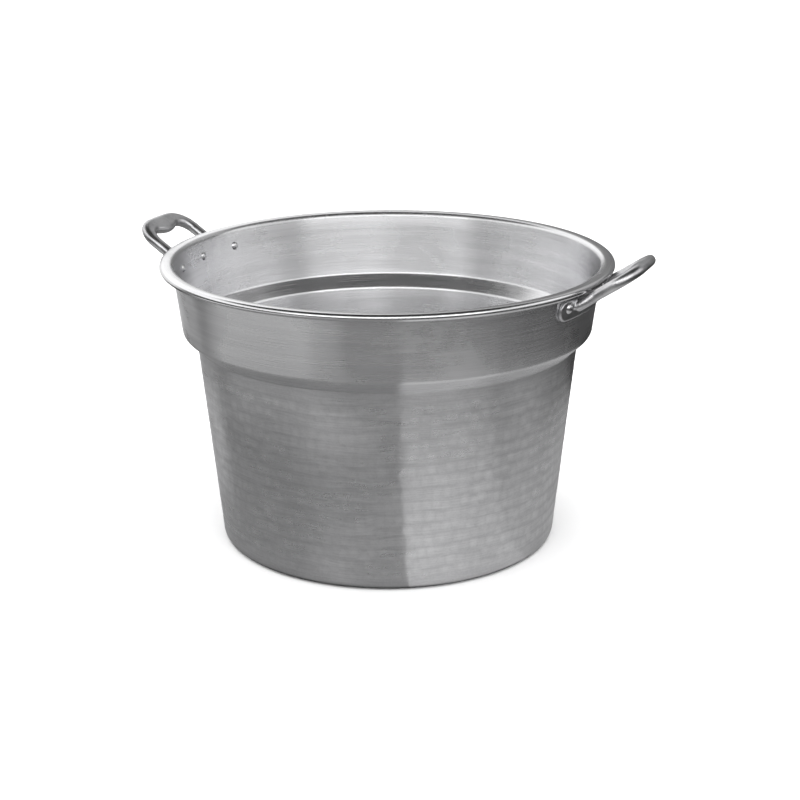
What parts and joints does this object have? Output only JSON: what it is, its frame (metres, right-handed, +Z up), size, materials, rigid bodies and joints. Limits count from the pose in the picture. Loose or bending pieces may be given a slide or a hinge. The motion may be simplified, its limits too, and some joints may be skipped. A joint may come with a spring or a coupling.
{
  "type": "brew kettle",
  "caption": "Large open kettle of spun aluminium: tapering hammered wall, shoulder step to a wider smooth band, rolled lip, and riveted cast loop handles.",
  "frame": {"origin": "centre of the base's underside, on the surface that the kettle stands on", "axes": "+Z up along the vessel's axis; +X towards one handle, -X towards the other; the object is mirrored about the XZ and YZ planes"},
  "size_m": [0.5936, 0.4999, 0.3394],
  "materials": {
    "spun_aluminium": "spun and brushed, hammered below the shoulder",
    "cast_aluminium": "cast and tumbled, polished by use on the grip",
    "rivet_aluminium": "formed heads, satin"
  },
  "bodies": {
    "root": {"kettle_shell": "spun_aluminium", "handle_right": "cast_aluminium", "handle_left": "cast_aluminium", "rivet_right_front": "rivet_aluminium", "rivet_right_middle": "rivet_aluminium", "rivet_right_rear": "rivet_aluminium", "rivet_left_front": "rivet_aluminium", "rivet_left_middle": "rivet_aluminium", "rivet_left_rear": "rivet_aluminium"}
  },
  "joints": []
}
